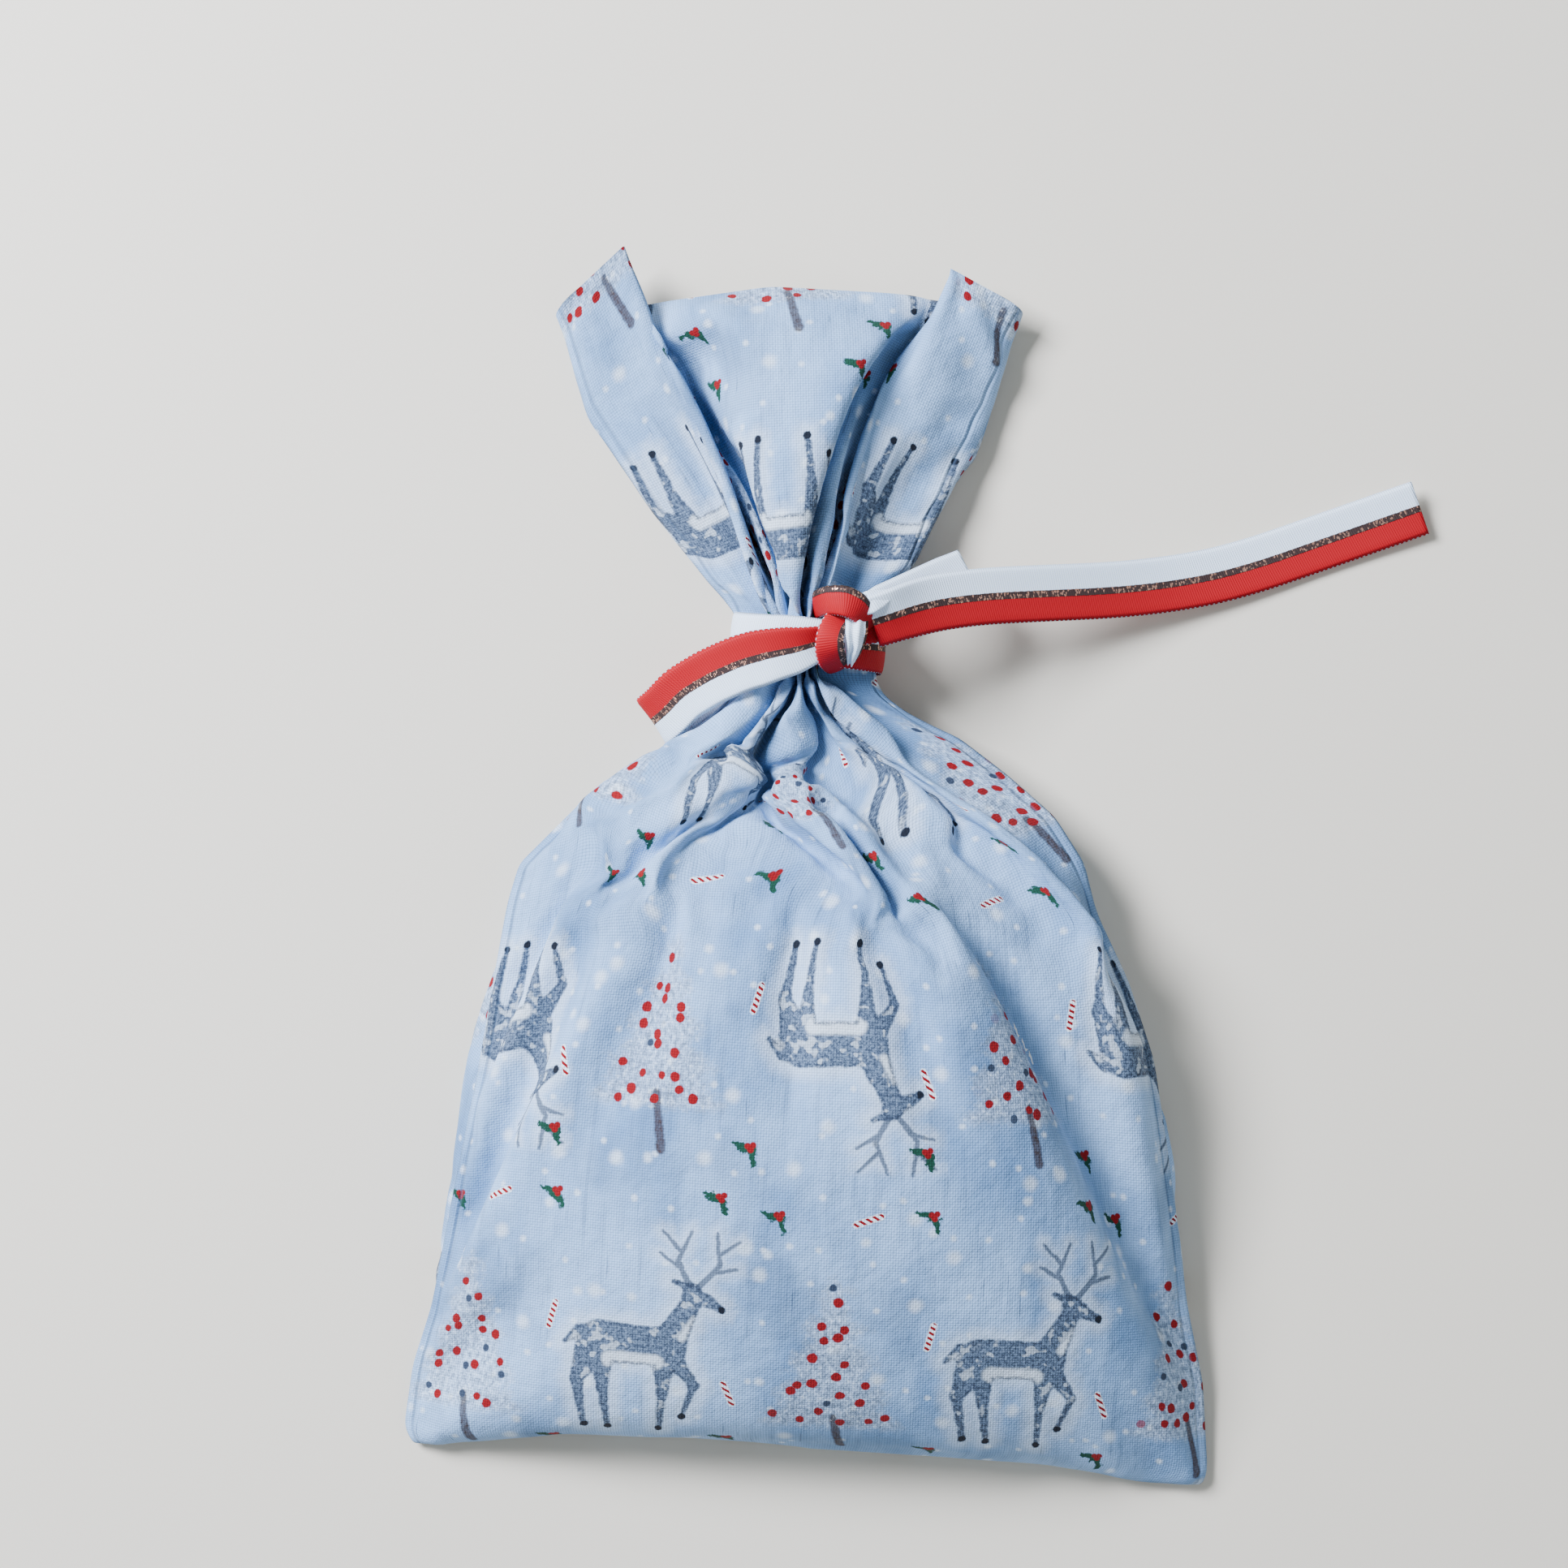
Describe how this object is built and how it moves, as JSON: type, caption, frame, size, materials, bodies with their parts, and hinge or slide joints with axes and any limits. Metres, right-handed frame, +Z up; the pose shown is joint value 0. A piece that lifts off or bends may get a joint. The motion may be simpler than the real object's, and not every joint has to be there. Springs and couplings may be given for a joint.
{
  "type": "drawstring gift pouch",
  "caption": "Filled cotton gift pouch lying on its back, neck gathered and tied with a flat striped ribbon, with a flared collar and two folded flaps above it.",
  "frame": {"origin": "centre of the object's box on the table surface, measured without the long ribbon tail", "axes": "+Z up from the table the pouch lies on, +Y from the bottom of the pouch to its mouth, +X to the right seen from above with the mouth away from the viewer"},
  "size_m": [0.1827, 0.221, 0.044],
  "materials": {
    "printed_cotton": "plain-weave cotton, pale ice blue with a small winter print",
    "cotton_wrong_side": "plain-weave cotton, the paler unprinted side",
    "striped_ribbon": "flat woven ribbon, white and red with a copper-glitter line between",
    "sewing_thread": "spun polyester thread",
    "tissue": "crumpled tissue wrap"
  },
  "bodies": {
    "pouch": {"front_panel": "printed_cotton", "back_panel": "printed_cotton", "gift_bundle": "tissue", "left_seam_allowance": "cotton_wrong_side", "right_seam_allowance": "cotton_wrong_side", "left_seam_stitching": "sewing_thread", "right_seam_stitching": "sewing_thread", "neck_gathers": "printed_cotton", "ribbon_wrap": "striped_ribbon", "ribbon_loop": "striped_ribbon", "knot_core": "striped_ribbon", "knot_strap": "striped_ribbon", "knot_turn": "striped_ribbon", "short_tail": "striped_ribbon", "long_tail": "striped_ribbon"},
    "collar": {"collar_back": "printed_cotton", "back_hem_facing": "cotton_wrong_side", "front_hem_facing": "cotton_wrong_side", "collar_front": "printed_cotton"},
    "left_flap": {"left_flap": "printed_cotton", "left_flap_facing": "cotton_wrong_side"},
    "right_flap": {"right_flap": "printed_cotton", "right_flap_facing": "cotton_wrong_side"}
  },
  "joints": [
    {"name": "collar_lift", "type": "hinge", "parent": "pouch", "child": "collar", "pos_m": [0, 0.0495, 0.008], "axis": [1, 0, 0], "range_deg": [0, 60]},
    {"name": "left_flap_fold", "type": "hinge", "parent": "collar", "child": "left_flap", "pos_m": [-0.02725, 0.0775, 0.0069], "axis": [0.6516, -0.7586, 0], "range_deg": [0, 90]},
    {"name": "right_flap_fold", "type": "hinge", "parent": "collar", "child": "right_flap", "pos_m": [0.0215, 0.0776, 0.0069], "axis": [0.644, 0.765, 0], "range_deg": [0, 90]}
  ]
}
